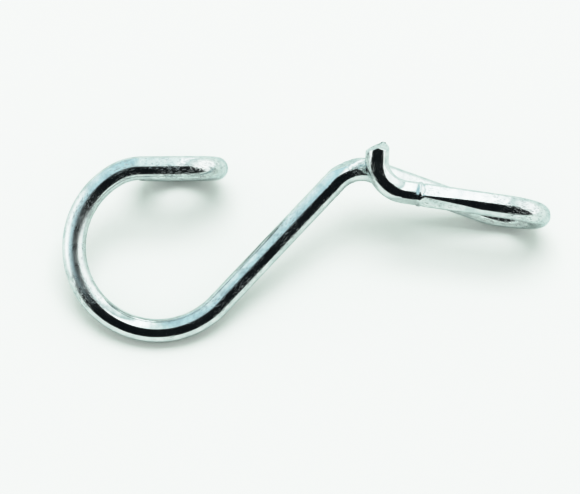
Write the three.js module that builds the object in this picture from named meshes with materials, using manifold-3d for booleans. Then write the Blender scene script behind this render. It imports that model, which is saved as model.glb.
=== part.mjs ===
// A meat hook bent cold from one length of round steel wire, 5 mm thick and zinc plated.
//
// From end to end the wire is a short upright tail with a sheared end, a narrow eye that the tail
// closes by crossing over the wire, a straight shank, a wide open bowl, and a small curl at the
// mouth of the bowl. The eye and the curl stand across the plane of the bowl.
// The hook lies on a table, which the bowl, the curl and the eye each touch at one point.
//
// Millimetres and degrees, +Z up, +X along the hook from the bowl to the eye. The origin is the
// centre of the base of the hook's box, on the table.

import * as THREE from 'three';
import Module from 'manifold-3d';
import { mergeVertices } from 'three/addons/utils/BufferGeometryUtils.js';

const wasm = await Module();
wasm.setup();

// The wire
const WIRE_DIAMETER = 5;
const WIRE_SIDES = 16;           // flats round the section
const BEND_STEP = 8;             // most that one step of a bend turns

// The shank, straight, in the plane of the bowl
const SHANK_LENGTH = 36.2;
const SHANK_HEADING = 46.5;      // from +X

// From the shank's foot: the bowl, its flatter lip, and the curl. Radii are the centreline's.
const BOWL = { radius: 17.7, angle: 196 };
const LIP = { radius: 11, angle: 30 };
const LIP_LENGTH = 7.8;
const CURL_ROLL = 90;
const CURL = { radius: 8, angle: 280 };
const CURL_END_LENGTH = 0.4;

// From the shank's head: the neck, the eye's back wire, its round end, its front wire and the tail.
// A roll turns the plane of the next bend about the wire.
const NECK_ROLL = 21;
const NECK = { radius: 7.5, angle: 67 };
const BACK_LENGTH = 27.1;
const SWEEP_ROLL = 212.5;
const SWEEP = { radius: 12, angle: 12.5 };
const EYE_ROLL = 40.5;
const EYE = { radius: 7.5, angle: 192 };
const FRONT_LENGTH = 21.5;
const TAIL_ROLL = -116.5;
const TAIL = { radius: 7, angle: 85.5 };
const TAIL_LENGTH = 3.2;

// Each end is pinched off by two slanting blades, which leave two facets and a ridge between them.
const FACET_SLOPES = [-28, 20];   // of the two facets, from a square end
const TAIL_RIDGE_TURN = -13;      // from the last bend's axis
const CURL_RIDGE_TURN = 60;
const RIDGE_OFFSET = 0.6;        // of the ridge from the wire's axis
const SHEAR_ALLOWANCE = 0.5;     // wire beyond the ridge, which the blades take off
const SHEAR_OVERLAP = 1;         // of each blade past the ridge

// The lying attitude: the tilt of the bowl's plane that brings all three resting points to the table
const BOWL_TILT = 24.86;

const ZINC = { color: 0xc9d2d4, roughness: 0.22, metalness: 1 };

const radians = THREE.MathUtils.degToRad;

// Walks along the centreline and leaves a station, a point and a heading, at each step.
class Walk {
  constructor(position, heading, bendAxis) {
    this.position = position.clone();
    this.heading = heading.clone().normalize();
    this.bendAxis = bendAxis.clone().normalize();
    this.stations = [];
    this.mark();
  }

  mark() {
    this.stations.push({ point: this.position.clone(), heading: this.heading.clone() });
  }

  straight(length) {
    this.position.addScaledVector(this.heading, length);
    this.mark();
  }

  roll(angle) {
    this.bendAxis.applyAxisAngle(this.heading, radians(angle));
  }

  bend({ radius, angle }) {
    const steps = Math.ceil(angle / BEND_STEP);
    const toCentre = new THREE.Vector3().crossVectors(this.bendAxis, this.heading);
    const centre = this.position.clone().addScaledVector(toCentre, radius);
    for (let step = 0; step < steps; step++) {
      this.position.sub(centre).applyAxisAngle(this.bendAxis, radians(angle / steps)).add(centre);
      this.heading.applyAxisAngle(this.bendAxis, radians(angle / steps));
      this.mark();
    }
  }
}

// A curve through the stations, one equal share of the parameter to each step between them.
class WirePath extends THREE.Curve {
  constructor(stations) {
    super();
    this.stations = stations;
  }

  getPointAt(u, target = new THREE.Vector3()) {
    return target.copy(this.stations[Math.round(u * (this.stations.length - 1))].point);
  }

  getTangentAt(u, target = new THREE.Vector3()) {
    return target.copy(this.stations[Math.round(u * (this.stations.length - 1))].heading);
  }
}

function toSolid(geometry) {
  const bare = geometry.clone();
  bare.deleteAttribute('normal');
  bare.deleteAttribute('uv');
  const merged = mergeVertices(bare, 1e-4);
  return new wasm.Manifold(new wasm.Mesh({
    numProp: 3,
    vertProperties: new Float32Array(merged.attributes.position.array),
    triVerts: new Uint32Array(merged.index.array),
  }));
}

function toGeometry(solid) {
  const mesh = solid.getMesh();
  const geometry = new THREE.BufferGeometry();
  geometry.setAttribute('position', new THREE.BufferAttribute(mesh.vertProperties, mesh.numProp));
  geometry.setIndex(new THREE.BufferAttribute(mesh.triVerts, 1));
  geometry.computeVertexNormals();
  return geometry;
}

function wireSection() {
  const corners = [];
  for (let side = 0; side < WIRE_SIDES; side++) {
    const turn = (2 * Math.PI * side) / WIRE_SIDES;
    corners.push(new THREE.Vector2(Math.cos(turn), Math.sin(turn)).multiplyScalar(WIRE_DIAMETER / 2));
  }
  return new THREE.Shape(corners);
}

// The two blocks that the blades take off the end of a walk, one on each side of the ridge.
function shearedOff(walk, ridgeTurn) {
  const ridge = walk.bendAxis.clone().applyAxisAngle(walk.heading, radians(ridgeTurn));
  const across = new THREE.Vector3().crossVectors(ridge, walk.heading);
  const ridgePoint = walk.position.clone().addScaledVector(across, RIDGE_OFFSET)
    .addScaledVector(walk.heading, -SHEAR_ALLOWANCE);
  const length = 2 * WIRE_DIAMETER;
  const depth = WIRE_DIAMETER / 2;
  return FACET_SLOPES.map((slope) => {
    const side = Math.sign(slope);
    const facetNormal = walk.heading.clone().applyAxisAngle(ridge, radians(slope));
    const alongFacet = new THREE.Vector3().crossVectors(ridge, facetNormal);
    const centre = ridgePoint.clone().addScaledVector(facetNormal, depth / 2)
      .addScaledVector(alongFacet, side * (length / 2 - SHEAR_OVERLAP));
    const block = new THREE.BoxGeometry(length, depth, length);
    block.applyMatrix4(new THREE.Matrix4().makeBasis(ridge, facetNormal, alongFacet)
      .setPosition(centre));
    return toSolid(block);
  });
}

// The bowl lies in the XY plane here, and the shank passes through the origin at its middle.
function hookWire() {
  const shankHeading = new THREE.Vector3(Math.cos(radians(SHANK_HEADING)),
    Math.sin(radians(SHANK_HEADING)), 0);
  const clockwise = new THREE.Vector3(0, 0, -1);

  const toEye = new Walk(new THREE.Vector3(), shankHeading, clockwise);
  toEye.straight(SHANK_LENGTH / 2);
  toEye.roll(NECK_ROLL);
  toEye.bend(NECK);
  toEye.straight(BACK_LENGTH);
  toEye.roll(SWEEP_ROLL);
  toEye.bend(SWEEP);
  toEye.roll(EYE_ROLL);
  toEye.bend(EYE);
  toEye.straight(FRONT_LENGTH);
  toEye.roll(TAIL_ROLL);
  toEye.bend(TAIL);
  toEye.straight(TAIL_LENGTH + SHEAR_ALLOWANCE);
  const tailCuts = shearedOff(toEye, TAIL_RIDGE_TURN);

  const toCurl = new Walk(new THREE.Vector3(), shankHeading.clone().negate(), clockwise);
  toCurl.straight(SHANK_LENGTH / 2);
  toCurl.bend(BOWL);
  toCurl.bend(LIP);
  toCurl.straight(LIP_LENGTH);
  toCurl.roll(CURL_ROLL);
  toCurl.bend(CURL);
  toCurl.straight(CURL_END_LENGTH + SHEAR_ALLOWANCE);
  const curlCuts = shearedOff(toCurl, CURL_RIDGE_TURN);

  const fromTail = toEye.stations.reverse().map(({ point, heading }) => ({
    point,
    heading: heading.negate(),
  }));
  const stations = [...fromTail, ...toCurl.stations.slice(1)];
  const wire = new THREE.ExtrudeGeometry(wireSection(), {
    steps: stations.length - 1,
    extrudePath: new WirePath(stations),
  });
  return [...tailCuts, ...curlCuts].reduce((solid, cut) => solid.subtract(cut), toSolid(wire));
}

const geometry = toGeometry(hookWire());
geometry.rotateX(radians(BOWL_TILT));
geometry.computeBoundingBox();
const middle = geometry.boundingBox.getCenter(new THREE.Vector3());
geometry.translate(-middle.x, -middle.y, -geometry.boundingBox.min.z);

const wire = new THREE.Mesh(geometry, new THREE.MeshStandardMaterial(ZINC));
wire.name = 'hook_wire';

const group = new THREE.Group();
group.add(wire);

export default group;
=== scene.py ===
"""Meat hook bent from one length of zinc-plated round wire, lying on a pale table."""

from math import cos, radians, sin

import bpy
from mathutils import Matrix, Vector
from mathutils.kdtree import KDTree


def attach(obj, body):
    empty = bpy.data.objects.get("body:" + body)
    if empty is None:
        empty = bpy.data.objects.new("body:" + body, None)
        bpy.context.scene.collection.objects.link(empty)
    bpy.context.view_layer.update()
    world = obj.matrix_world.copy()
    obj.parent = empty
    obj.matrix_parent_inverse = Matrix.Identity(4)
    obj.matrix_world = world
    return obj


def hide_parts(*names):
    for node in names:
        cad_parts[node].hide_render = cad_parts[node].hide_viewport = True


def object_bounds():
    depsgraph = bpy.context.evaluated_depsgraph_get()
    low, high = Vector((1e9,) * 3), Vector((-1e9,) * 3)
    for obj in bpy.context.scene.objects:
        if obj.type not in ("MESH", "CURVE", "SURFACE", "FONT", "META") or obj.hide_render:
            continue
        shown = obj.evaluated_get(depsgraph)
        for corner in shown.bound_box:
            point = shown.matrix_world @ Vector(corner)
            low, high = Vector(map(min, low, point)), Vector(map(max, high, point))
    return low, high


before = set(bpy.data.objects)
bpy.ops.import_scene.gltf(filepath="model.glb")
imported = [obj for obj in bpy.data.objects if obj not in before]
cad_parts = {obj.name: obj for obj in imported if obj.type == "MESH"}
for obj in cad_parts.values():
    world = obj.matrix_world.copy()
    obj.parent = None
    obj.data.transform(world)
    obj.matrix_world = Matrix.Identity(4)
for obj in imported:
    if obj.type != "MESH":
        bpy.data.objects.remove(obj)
cad_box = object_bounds()

MM = 0.001

# The wire, and how finely its surface is divided
WIRE_RADIUS = 2.5 * MM
WIRE_SIDES = 64
RING_GAP = 0.4 * MM

# The straights and bends, as the part's source gives them: radius or length, and degrees
SHANK_LENGTH = 36.2 * MM
SHANK_HEADING = 46.5
BOWL = (17.7 * MM, 196)
LIP = (11 * MM, 30)
LIP_LENGTH = 7.8 * MM
CURL_ROLL = 90
CURL = (8 * MM, 280)
CURL_END_LENGTH = 0.4 * MM
NECK_ROLL = 21
NECK = (7.5 * MM, 67)
BACK_LENGTH = 27.1 * MM
SWEEP_ROLL = 212.5
SWEEP = (12 * MM, 12.5)
EYE_ROLL = 40.5
EYE = (7.5 * MM, 192)
FRONT_LENGTH = 21.5 * MM
TAIL_ROLL = -116.5
TAIL = (7 * MM, 85.5)
TAIL_LENGTH = 3.2 * MM

# The pinched ends
FACET_SLOPES = (-28, 20)
TAIL_RIDGE_TURN = -13
CURL_RIDGE_TURN = 60
RIDGE_OFFSET = 0.6 * MM
END_SPARE = 0.6 * MM          # wire past the ridge, which the two cuts take off
CURL_LAST_TURN = 16           # the end of the curl, drawn in one step so that the cuts are clean

BOWL_TILT = 24.86             # of the bowl's plane to the table


# ---------------------------------------------------------------- modelling helpers

def deselect_all():
    bpy.ops.object.select_all(action="DESELECT")


def edit(piece):
    deselect_all()
    piece.select_set(True)
    bpy.context.view_layer.objects.active = piece
    bpy.ops.object.mode_set(mode="EDIT")


def leave_edit():
    bpy.ops.object.mode_set(mode="OBJECT")


def select_vertices(piece, chosen):
    """Selects the vertices that the test picks, and the edges and faces between them."""
    leave_edit()
    mesh = piece.data
    picked = [chosen(vertex) for vertex in mesh.vertices]
    mesh.vertices.foreach_set("select", picked)
    mesh.edges.foreach_set("select", [all(picked[i] for i in edge.vertices) for edge in mesh.edges])
    mesh.polygons.foreach_set("select", [all(picked[i] for i in face.vertices) for face in mesh.polygons])
    bpy.ops.object.mode_set(mode="EDIT")


# ---------------------------------------------------------------- the bent wire

class WireWalk:
    """Draws the open end loop of the wire along its route, and keeps the stations it passes.

    A station is its place, heading, side, top and distance from the middle of the shank.
    """

    def __init__(self, heading, bend_axis, side, top, direction):
        self.place = Vector()
        self.heading = heading
        self.bend_axis = bend_axis
        self.side = side
        self.top = top
        self.direction = direction
        self.distance = 0.0
        self.stations = []
        self.marks = {}
        self.note_station()

    def note_station(self):
        along = self.distance * self.direction
        self.stations.append((self.place.copy(), self.heading.copy(), self.side.copy(), self.top.copy(), along))

    def straight(self, length, steps=None):
        steps = steps or max(1, round(length / RING_GAP))
        step = self.heading * (length / steps)
        for _ in range(steps):
            bpy.ops.mesh.extrude_edges_move(TRANSFORM_OT_translate={"value": step})
            self.place = self.place + step
            self.distance += length / steps
            self.note_station()

    def roll(self, degrees):
        self.bend_axis = Matrix.Rotation(radians(degrees), 3, self.heading) @ self.bend_axis

    def bend(self, radius, degrees, steps=None):
        turn = radians(degrees)
        steps = steps or max(4, round(radius * turn / RING_GAP))
        centre = self.place + self.bend_axis.cross(self.heading) * radius
        bpy.ops.mesh.spin(steps=steps, angle=-turn, center=centre, axis=self.bend_axis, dupli=False)
        step_turn = Matrix.Rotation(turn / steps, 3, self.bend_axis)
        for _ in range(steps):
            self.place = centre + step_turn @ (self.place - centre)
            self.heading = step_turn @ self.heading
            self.side = step_turn @ self.side
            self.top = step_turn @ self.top
            self.distance += radius * turn / steps
            self.note_station()

    def mark(self, name):
        self.marks[name] = (self.place.copy(), self.heading.copy(), self.bend_axis.copy(), self.distance)


def draw_wire():
    """The wire with square ends, and the walks from the middle of its shank to the two ends."""
    shank_heading = Vector((cos(radians(SHANK_HEADING)), sin(radians(SHANK_HEADING)), 0))
    clockwise = Vector((0, 0, -1))
    side = shank_heading.cross(clockwise)
    section_turn = shank_heading.to_track_quat("Z", "Y").to_euler()
    deselect_all()
    bpy.ops.mesh.primitive_circle_add(vertices=WIRE_SIDES, radius=WIRE_RADIUS, rotation=section_turn)
    wire = bpy.context.object
    wire.name = "bent_wire"
    bpy.ops.object.transform_apply(location=True, rotation=True, scale=True)
    edit(wire)
    bpy.ops.mesh.select_mode(type="EDGE")
    bpy.ops.mesh.select_all(action="SELECT")

    to_eye = WireWalk(shank_heading, clockwise, side, clockwise, 1)
    to_eye.straight(SHANK_LENGTH / 2)
    to_eye.roll(NECK_ROLL)
    to_eye.mark("neck")
    to_eye.bend(*NECK)
    to_eye.straight(BACK_LENGTH)
    to_eye.roll(SWEEP_ROLL)
    to_eye.bend(*SWEEP)
    to_eye.roll(EYE_ROLL)
    to_eye.bend(*EYE)
    to_eye.straight(FRONT_LENGTH)
    to_eye.roll(TAIL_ROLL)
    to_eye.mark("tail")
    to_eye.bend(*TAIL)
    to_eye.straight(TAIL_LENGTH, steps=1)
    to_eye.mark("end")
    to_eye.straight(END_SPARE, steps=1)
    bpy.ops.mesh.edge_face_add()

    select_vertices(wire, lambda vertex: vertex.co.length < WIRE_RADIUS * 1.001)
    to_curl = WireWalk(-shank_heading, clockwise, side, clockwise, -1)
    to_curl.straight(SHANK_LENGTH / 2)
    to_curl.mark("bowl")
    to_curl.bend(*BOWL)
    to_curl.bend(*LIP)
    to_curl.straight(LIP_LENGTH)
    to_curl.roll(CURL_ROLL)
    to_curl.bend(CURL[0], CURL[1] - CURL_LAST_TURN)
    to_curl.bend(CURL[0], CURL_LAST_TURN, steps=1)
    to_curl.straight(CURL_END_LENGTH, steps=1)
    to_curl.mark("end")
    to_curl.straight(END_SPARE, steps=1)
    bpy.ops.mesh.edge_face_add()
    leave_edit()
    return wire, to_eye, to_curl


def write_wire_coordinates(wire, walks):
    """Writes where each point of the skin was on the straight wire, before it was bent."""
    stations = [station for walk in walks for station in walk.stations]
    nearest = KDTree(len(stations))
    for index, station in enumerate(stations):
        nearest.insert(station[0], index)
    nearest.balance()
    attributes = wire.data.attributes
    straight_place = attributes.get("straight_place") or attributes.new("straight_place", "FLOAT_VECTOR", "POINT")
    for vertex, value in zip(wire.data.vertices, straight_place.data):
        place, heading, side, top, along = stations[nearest.find(vertex.co)[1]]
        offset = vertex.co - place
        value.vector = (offset.dot(side), offset.dot(top), along)


def distances_along(wire):
    return [value.vector.z for value in wire.data.attributes["straight_place"].data]


def pinch_off(wire, walk, ridge_turn, reach):
    """Cuts an end of the wire to two facets that meet in a ridge, as cutters leave it."""
    place, heading, bend_axis, distance = walk.marks["end"]
    ridge = Matrix.Rotation(radians(ridge_turn), 3, heading) @ bend_axis
    across = ridge.cross(heading)
    ridge_point = place + across * RIDGE_OFFSET
    for slope in FACET_SLOPES:
        facet_normal = Matrix.Rotation(radians(slope), 3, ridge) @ heading
        leave_edit()
        along = distances_along(wire)
        select_vertices(wire, lambda vertex: along[vertex.index] * walk.direction > distance - reach)
        bpy.ops.mesh.bisect(plane_co=ridge_point, plane_no=facet_normal, use_fill=True, clear_outer=True)
    leave_edit()


wire, to_eye, to_curl = draw_wire()
write_wire_coordinates(wire, (to_eye, to_curl))
pinch_off(wire, to_eye, TAIL_RIDGE_TURN, TAIL_LENGTH + 1 * MM)
pinch_off(wire, to_curl, CURL_RIDGE_TURN, CURL_END_LENGTH + CURL[0] * radians(CURL_LAST_TURN) + 1 * MM)


# ---------------------------------------------------------------- one closed skin

def soften_cut_edges(wire):
    """Takes the sharpness off the ridges and the rims of the facets."""
    edit(wire)
    bpy.ops.mesh.select_mode(type="VERT")
    bpy.ops.mesh.select_all(action="SELECT")
    bpy.ops.mesh.remove_doubles(threshold=0.002 * MM)
    bpy.ops.mesh.normals_make_consistent(inside=False)
    bpy.ops.mesh.select_all(action="DESELECT")
    bpy.ops.mesh.select_mode(type="EDGE")
    bpy.ops.mesh.edges_select_sharp(sharpness=radians(18))
    bpy.ops.mesh.bevel(offset=0.09 * MM, segments=3, affect="EDGES", clamp_overlap=True)
    leave_edit()


soften_cut_edges(wire)
write_wire_coordinates(wire, (to_eye, to_curl))


# ---------------------------------------------------------------- marks of the bending dies

def station_at(walk, distance):
    return min(walk.stations, key=lambda station: abs(abs(station[4]) - distance))


def press_flat(wire, point, outward, start, end):
    """Presses the skin that stands past a plane back onto it, between two places along the wire."""
    along = distances_along(wire)
    select_vertices(wire, lambda vertex: start < along[vertex.index] < end
                    and (vertex.co - point).dot(outward) > 0)
    turned = outward.to_track_quat("Z", "Y").to_matrix()
    bpy.ops.transform.resize(value=(1, 1, 0), orient_type="GLOBAL", orient_matrix=turned,
                             orient_matrix_type="GLOBAL", center_override=point)
    leave_edit()


def raise_ring(wire, walk, distance, half_width, growth):
    """Swells or narrows a short ring of the wire, where the edge of a die stood."""
    place = station_at(walk, distance)[0]
    along = distances_along(wire)
    select_vertices(wire, lambda vertex: abs(along[vertex.index] - distance) < half_width)
    bpy.ops.transform.resize(value=(growth, growth, growth), center_override=place)
    leave_edit()


def die_marks(wire):
    tail_start = to_eye.marks["tail"][3]
    step = tail_start - 2.8 * MM
    place, heading, _, _, _ = station_at(to_eye, step)
    outward = Vector((0, -0.93, 0.37))
    outward = (outward - heading * outward.dot(heading)).normalized()
    press_flat(wire, place + outward * (WIRE_RADIUS - 0.5 * MM), outward, step, tail_start + 6 * MM)
    squeezed_length = 12 * MM
    place, heading, _, _, _ = station_at(to_eye, step - 1 * MM)
    upward = Vector((0, 1, 0))
    upward = (upward - heading * upward.dot(heading)).normalized()
    facing = upward.cross(heading).normalized()
    facing = facing if facing.z > 0 else -facing
    for lean, depth in ((24, 0.26 * MM), (-40, 0.36 * MM)):
        outward = facing * cos(radians(lean)) + upward * sin(radians(lean))
        sloping = (outward + heading * (depth / squeezed_length)).normalized()
        press_flat(wire, place + outward * (WIRE_RADIUS - depth), sloping, step - 14 * MM, step - 0.9 * MM)
    raise_ring(wire, to_eye, step - 0.15 * MM, 0.25 * MM, 1.055)
    raise_ring(wire, to_eye, step - 0.75 * MM, 0.25 * MM, 0.95)

    neck_start = to_eye.marks["neck"][3]
    neck_length = NECK[0] * radians(NECK[1])
    place, heading, _, _, _ = station_at(to_eye, neck_start + 0.38 * neck_length)
    neck_axis = to_eye.marks["neck"][2]
    outward = heading.cross(neck_axis).normalized()
    press_flat(wire, place + outward * (WIRE_RADIUS - 0.6 * MM), outward, neck_start - 3 * MM,
               neck_start + neck_length + 2 * MM)
    raise_ring(wire, to_eye, neck_start - 1.8 * MM, 0.25 * MM, 1.015)
    raise_ring(wire, to_eye, neck_start + 0.42 * neck_length, 0.25 * MM, 1.03)


def nick(wire, spot, depth):
    """Knocks a small dent into the skin at the place nearest the spot."""
    place = min(to_curl.stations, key=lambda station: (station[0] - spot).length)[0]
    outward = (spot - place).normalized()
    point = place + outward * WIRE_RADIUS
    select_vertices(wire, lambda vertex: (vertex.co - point).length < 0.55 * MM)
    bpy.ops.transform.translate(value=outward * -depth)
    leave_edit()


die_marks(wire)
nick(wire, Vector((-43.8, -6.6, 1.2)) * MM, 0.14 * MM)
nick(wire, Vector((-43.1, -7.9, 1.5)) * MM, 0.1 * MM)


# ---------------------------------------------------------------- laid on the table

def lay_on_table(wire):
    """Turns the bowl's plane to its rest, and sets the wire where the part lies."""
    deselect_all()
    wire.select_set(True)
    bpy.context.view_layer.objects.active = wire
    wire.rotation_euler.x = radians(BOWL_TILT)
    bpy.ops.object.transform_apply(location=True, rotation=True, scale=True)
    places = [vertex.co for vertex in wire.data.vertices]
    middle = [(min(p[axis] for p in places) + max(p[axis] for p in places)) / 2 for axis in range(2)]
    cad_low, cad_high = cad_box[0], cad_box[1]
    wire.location.x = (cad_low[0] + cad_high[0]) / 2 - middle[0]
    wire.location.y = (cad_low[1] + cad_high[1]) / 2 - middle[1]
    wire.location.z = cad_low[2] - min(p[2] for p in places)
    bpy.ops.object.transform_apply(location=True, rotation=True, scale=True)
    bpy.ops.object.shade_smooth_by_angle(angle=radians(35))


lay_on_table(wire)
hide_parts("hook_wire")
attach(wire, "root")


# ---------------------------------------------------------------- zinc plating

def node(tree, kind, place, **settings):
    made = tree.nodes.new(kind)
    made.location = place
    for name, value in settings.items():
        setattr(made, name, value)
    return made


def zinc_plating():
    """Bright zinc on drawn wire: cool, mirror-like, with faint draw lines, pits and cloudy patches."""
    zinc = bpy.data.materials.new("bright_zinc")
    zinc.use_nodes = True
    tree = zinc.node_tree
    link = tree.links.new
    shader = tree.nodes["Principled BSDF"]
    shader.inputs["Metallic"].default_value = 1.0
    shader.inputs["Specular Tint"].default_value = (0.76, 0.82, 0.82, 1)
    shader.location = (900, 0)
    tree.nodes["Material Output"].location = (1200, 0)

    along_wire = node(tree, "ShaderNodeAttribute", (-1400, 0), attribute_name="straight_place")
    place = node(tree, "ShaderNodeTexCoord", (-1400, -300))

    # Draw lines run the length of the wire, a seventh of a millimetre apart
    stretched = node(tree, "ShaderNodeMapping", (-1150, 200))
    stretched.inputs["Scale"].default_value = (1, 1, 0.015)
    link(along_wire.outputs["Vector"], stretched.inputs["Vector"])
    draw_lines = node(tree, "ShaderNodeTexNoise", (-900, 200))
    draw_lines.inputs["Scale"].default_value = 5200
    draw_lines.inputs["Detail"].default_value = 3
    link(stretched.outputs[0], draw_lines.inputs["Vector"])

    # Orange peel is the soft unevenness of the plated skin
    peel = node(tree, "ShaderNodeTexNoise", (-900, -50))
    peel.inputs["Scale"].default_value = 900
    peel.inputs["Detail"].default_value = 2
    link(place.outputs["Object"], peel.inputs["Vector"])

    # Pits are drawn out along the wire, and come in patches
    grit_place = node(tree, "ShaderNodeMapping", (-1150, -300))
    grit_place.inputs["Scale"].default_value = (1, 1, 0.4)
    link(along_wire.outputs["Vector"], grit_place.inputs["Vector"])
    grit = node(tree, "ShaderNodeTexNoise", (-900, -300))
    grit.inputs["Scale"].default_value = 3300
    grit.inputs["Detail"].default_value = 3
    link(grit_place.outputs[0], grit.inputs["Vector"])
    pits = node(tree, "ShaderNodeMapRange", (-700, -300), interpolation_type="SMOOTHSTEP")
    pits.inputs["From Min"].default_value = 0.54
    pits.inputs["From Max"].default_value = 0.64
    link(grit.outputs["Fac"], pits.inputs["Value"])
    patches = node(tree, "ShaderNodeTexNoise", (-900, -550))
    patches.inputs["Scale"].default_value = 75
    patches.inputs["Detail"].default_value = 3
    link(place.outputs["Object"], patches.inputs["Vector"])
    patch_edge = node(tree, "ShaderNodeMapRange", (-700, -550), interpolation_type="SMOOTHSTEP")
    patch_edge.inputs["From Min"].default_value = 0.38
    patch_edge.inputs["From Max"].default_value = 0.6
    link(patches.outputs["Fac"], patch_edge.inputs["Value"])
    patchy_pits = node(tree, "ShaderNodeMath", (-500, -400), operation="MULTIPLY")
    link(pits.outputs[0], patchy_pits.inputs[0])
    link(patch_edge.outputs[0], patchy_pits.inputs[1])

    # Cloudy stains of the plating, a few millimetres across
    clouds = node(tree, "ShaderNodeTexNoise", (-900, -800))
    clouds.inputs["Scale"].default_value = 420
    clouds.inputs["Detail"].default_value = 6
    clouds.inputs["Roughness"].default_value = 0.6
    link(place.outputs["Object"], clouds.inputs["Vector"])

    tint = node(tree, "ShaderNodeValToRGB", (-200, 300))
    tint.color_ramp.elements[0].position = 0.3
    tint.color_ramp.elements[0].color = (0.53, 0.59, 0.59, 1)
    tint.color_ramp.elements[1].position = 0.62
    tint.color_ramp.elements[1].color = (0.71, 0.76, 0.75, 1)
    link(clouds.outputs["Fac"], tint.inputs["Fac"])
    dulled = node(tree, "ShaderNodeMix", (200, 250), data_type="RGBA")
    dulled.inputs["B"].default_value = (0.5, 0.54, 0.54, 1)
    link(patchy_pits.outputs[0], dulled.inputs["Factor"])
    link(tint.outputs["Color"], dulled.inputs["A"])
    link(dulled.outputs["Result"], shader.inputs["Base Color"])

    # The far side of the bowl is scuffed, where it has rubbed
    wire_split = node(tree, "ShaderNodeSeparateXYZ", (-1150, -1000))
    link(along_wire.outputs["Vector"], wire_split.inputs[0])
    scuff_end = node(tree, "ShaderNodeMapRange", (-900, -1000), interpolation_type="SMOOTHSTEP")
    scuff_end.inputs["From Min"].default_value = -0.078
    scuff_end.inputs["From Max"].default_value = -0.066
    link(wire_split.outputs["Z"], scuff_end.inputs["Value"])
    scuff_start = node(tree, "ShaderNodeMapRange", (-900, -1250), interpolation_type="SMOOTHSTEP")
    scuff_start.inputs["From Min"].default_value = -0.044
    scuff_start.inputs["From Max"].default_value = -0.054
    link(wire_split.outputs["Z"], scuff_start.inputs["Value"])
    scuffed = node(tree, "ShaderNodeMath", (-650, -1100), operation="MULTIPLY")
    link(scuff_end.outputs[0], scuffed.inputs[0])
    link(scuff_start.outputs[0], scuffed.inputs[1])
    uneven_scuff = node(tree, "ShaderNodeMath", (-450, -1000), operation="MULTIPLY")
    link(scuffed.outputs[0], uneven_scuff.inputs[0])
    link(clouds.outputs["Fac"], uneven_scuff.inputs[1])

    gloss = node(tree, "ShaderNodeMapRange", (-200, 0))
    gloss.inputs["From Min"].default_value = 0.3
    gloss.inputs["From Max"].default_value = 0.7
    gloss.inputs["To Min"].default_value = 0.08
    gloss.inputs["To Max"].default_value = 0.2
    link(patches.outputs["Fac"], gloss.inputs["Value"])
    rougher = node(tree, "ShaderNodeMath", (200, 0), operation="MULTIPLY_ADD")
    rougher.inputs[1].default_value = 0.15
    link(patchy_pits.outputs[0], rougher.inputs[0])
    link(gloss.outputs[0], rougher.inputs[2])
    scuff_rough = node(tree, "ShaderNodeMath", (400, 0), operation="MULTIPLY_ADD")
    scuff_rough.inputs[1].default_value = 0.34
    link(uneven_scuff.outputs[0], scuff_rough.inputs[0])
    link(rougher.outputs[0], scuff_rough.inputs[2])
    link(scuff_rough.outputs[0], shader.inputs["Roughness"])

    lines_relief = node(tree, "ShaderNodeBump", (100, -300))
    lines_relief.inputs["Distance"].default_value = 0.0000035
    link(draw_lines.outputs["Fac"], lines_relief.inputs["Height"])
    peel_relief = node(tree, "ShaderNodeBump", (350, -300))
    peel_relief.inputs["Distance"].default_value = 0.000012
    link(peel.outputs["Fac"], peel_relief.inputs["Height"])
    link(lines_relief.outputs["Normal"], peel_relief.inputs["Normal"])
    pit_relief = node(tree, "ShaderNodeBump", (600, -300), invert=True)
    pit_relief.inputs["Distance"].default_value = 0.000022
    link(patchy_pits.outputs[0], pit_relief.inputs["Height"])
    link(peel_relief.outputs["Normal"], pit_relief.inputs["Normal"])
    link(pit_relief.outputs["Normal"], shader.inputs["Normal"])
    return zinc


wire.data.materials.clear()
wire.data.materials.append(zinc_plating())


# ---------------------------------------------------------------- table, light and camera

def table():
    deselect_all()
    bpy.ops.mesh.primitive_plane_add(size=6, location=(0, 0, 0))
    top = bpy.context.object
    top.name = "table_top"
    pale = bpy.data.materials.new("pale_table")
    pale.use_nodes = True
    shader = pale.node_tree.nodes["Principled BSDF"]
    shader.inputs["Base Color"].default_value = (0.83, 0.865, 0.84, 1)
    shader.inputs["Roughness"].default_value = 0.9
    shader.inputs["Specular IOR Level"].default_value = 0.0
    top.data.materials.append(pale)


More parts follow.
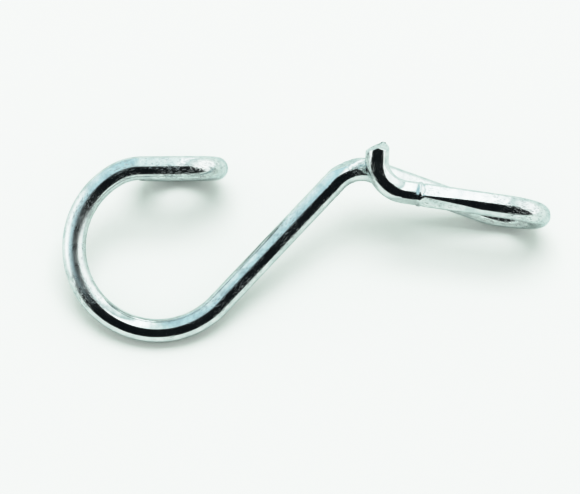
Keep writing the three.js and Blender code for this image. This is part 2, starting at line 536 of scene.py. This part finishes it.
def room():
    """A pale room, brightest on the left, with a dark front side that only the metal sees."""
    scene = bpy.context.scene
    world = bpy.data.worlds.new("white_room")
    scene.world = world
    world.use_nodes = True
    tree = world.node_tree
    tree.nodes.clear()
    output = node(tree, "ShaderNodeOutputWorld", (1200, 0))
    background = node(tree, "ShaderNodeBackground", (1000, 0))
    tree.links.new(background.outputs[0], output.inputs["Surface"])
    place = node(tree, "ShaderNodeTexCoord", (-800, 0))
    split = node(tree, "ShaderNodeSeparateXYZ", (-600, 0))
    tree.links.new(place.outputs["Generated"], split.inputs[0])
    forward = node(tree, "ShaderNodeMath", (-400, -100), operation="MULTIPLY")
    forward.inputs[1].default_value = -1
    tree.links.new(split.outputs["Y"], forward.inputs[0])
    height = node(tree, "ShaderNodeMath", (-200, -100), operation="ARCTAN2")
    tree.links.new(split.outputs["Z"], height.inputs[0])
    tree.links.new(forward.outputs[0], height.inputs[1])
    sideways = node(tree, "ShaderNodeMath", (-400, 100), operation="ABSOLUTE")
    centre = node(tree, "ShaderNodeMapRange", (0, 150), interpolation_type="SMOOTHSTEP")
    centre.inputs["From Min"].default_value = radians(35)
    centre.inputs["From Max"].default_value = radians(68)
    centre.inputs["To Min"].default_value = 0
    centre.inputs["To Max"].default_value = 0.2
    tree.links.new(height.outputs[0], centre.inputs["Value"])
    off_centre = node(tree, "ShaderNodeMath", (-500, 100), operation="SUBTRACT")
    tree.links.new(split.outputs["X"], off_centre.inputs[0])
    tree.links.new(centre.outputs[0], off_centre.inputs[1])
    tree.links.new(off_centre.outputs[0], sideways.inputs[0])
    half_width = node(tree, "ShaderNodeMapRange", (0, -100), interpolation_type="SMOOTHSTEP")
    half_width.inputs["From Min"].default_value = radians(35)
    half_width.inputs["From Max"].default_value = radians(72)
    half_width.inputs["To Min"].default_value = sin(radians(58))
    half_width.inputs["To Max"].default_value = 0.38
    tree.links.new(height.outputs[0], half_width.inputs["Value"])
    inside = node(tree, "ShaderNodeMath", (200, 0), operation="SUBTRACT")
    tree.links.new(half_width.outputs[0], inside.inputs[0])
    tree.links.new(sideways.outputs[0], inside.inputs[1])
    across = node(tree, "ShaderNodeMapRange", (400, 0), interpolation_type="SMOOTHSTEP")
    across.inputs["From Min"].default_value = -0.06
    across.inputs["From Max"].default_value = 0.06
    tree.links.new(inside.outputs[0], across.inputs["Value"])
    upper = node(tree, "ShaderNodeMapRange", (400, -250), interpolation_type="SMOOTHSTEP")
    upper.inputs["From Min"].default_value = radians(82)
    upper.inputs["From Max"].default_value = radians(76)
    tree.links.new(height.outputs[0], upper.inputs["Value"])
    dark = node(tree, "ShaderNodeMath", (600, 0), operation="MULTIPLY")
    tree.links.new(across.outputs[0], dark.inputs[0])
    tree.links.new(upper.outputs[0], dark.inputs[1])
    rays = node(tree, "ShaderNodeLightPath", (400, 300))
    seen = node(tree, "ShaderNodeMath", (800, 0), operation="MULTIPLY")
    tree.links.new(dark.outputs[0], seen.inputs[0])
    tree.links.new(rays.outputs["Is Glossy Ray"], seen.inputs[1])
    sides = node(tree, "ShaderNodeValToRGB", (400, 600))
    sides.color_ramp.interpolation = "EASE"
    tones = ((0.02, (1.9, 1.9, 1.88)), (0.06, (1.7, 1.7, 1.68)), (0.13, (1.0, 1.12, 1.15)),
             (0.3, (0.78, 0.97, 1.03)), (0.42, (0.8, 0.98, 1.04)), (0.475, (1.08, 1.2, 1.17)),
             (0.56, (1.9, 1.9, 1.9)), (0.6, (1.8, 1.8, 1.8)), (0.64, (0.85, 0.95, 0.93)),
             (0.74, (1.15, 1.22, 1.2)), (0.84, (1.6, 1.6, 1.58)))
    for position, tone in tones:
        element = sides.color_ramp.elements.new(position)
        element.color = tone + (1,)
    sides.color_ramp.elements.remove(sides.color_ramp.elements[0])
    sides.color_ramp.elements.remove(sides.color_ramp.elements[-1])
    from_left = node(tree, "ShaderNodeMapRange", (200, 600))
    from_left.inputs["From Min"].default_value = -1
    tree.links.new(split.outputs["X"], from_left.inputs["Value"])
    tree.links.new(from_left.outputs[0], sides.inputs["Fac"])
    walls = node(tree, "ShaderNodeMix", (700, 500), data_type="RGBA")
    walls.inputs["A"].default_value = (0.86, 0.89, 0.87, 1)
    tree.links.new(rays.outputs["Is Glossy Ray"], walls.inputs["Factor"])
    tree.links.new(sides.outputs["Color"], walls.inputs["B"])
    shade = node(tree, "ShaderNodeMix", (900, 200), data_type="RGBA")
    shade.inputs["B"].default_value = (0.008, 0.012, 0.015, 1)
    tree.links.new(walls.outputs["Result"], shade.inputs["A"])
    tree.links.new(seen.outputs[0], shade.inputs["Factor"])
    tree.links.new(shade.outputs["Result"], background.inputs["Color"])
    background.inputs["Strength"].default_value = 1.0


def softbox():
    light = bpy.data.lights.new("softbox", "AREA")
    light.shape = "RECTANGLE"
    light.size = 0.8
    light.size_y = 0.6
    light.energy = 7.4
    lamp = bpy.data.objects.new("softbox", light)
    lamp.location = (0.05, 0.36, 1.1)
    lamp.visible_glossy = False
    lamp.rotation_euler = (Vector((0, 0, 0)) - lamp.location).to_track_quat("-Z", "Y").to_euler()
    bpy.context.scene.collection.objects.link(lamp)


def camera():
    data = bpy.data.cameras.new("camera")
    data.lens = 175.7
    data.sensor_width = 36
    data.clip_end = 10
    eye = bpy.data.objects.new("camera", data)
    middle = Vector((-3.652, -2.937, 9.958)) * MM
    eye.location = middle + Vector((0, -sin(radians(BOWL_TILT)), cos(radians(BOWL_TILT)))) * 0.6
    eye.rotation_euler = (radians(BOWL_TILT), 0, 0)
    bpy.context.scene.collection.objects.link(eye)
    bpy.context.scene.camera = eye


table()
room()
softbox()
camera()


def tone_curve():
    """Lets the brightest tones roll off softly, as a light table picture has them."""
    view = bpy.context.scene.view_settings
    view.view_transform = "Standard"
    view.use_curve_mapping = True
    curves = view.curve_mapping
    curves.white_level = (1.6, 1.6, 1.6)
    tones = curves.curves[3].points
    for bright, shown in ((0.125, 0.13), (0.31, 0.43), (0.5, 0.77), (0.625, 0.885), (0.72, 0.935)):
        tones.new(bright, shown)
    curves.update()


tone_curve()
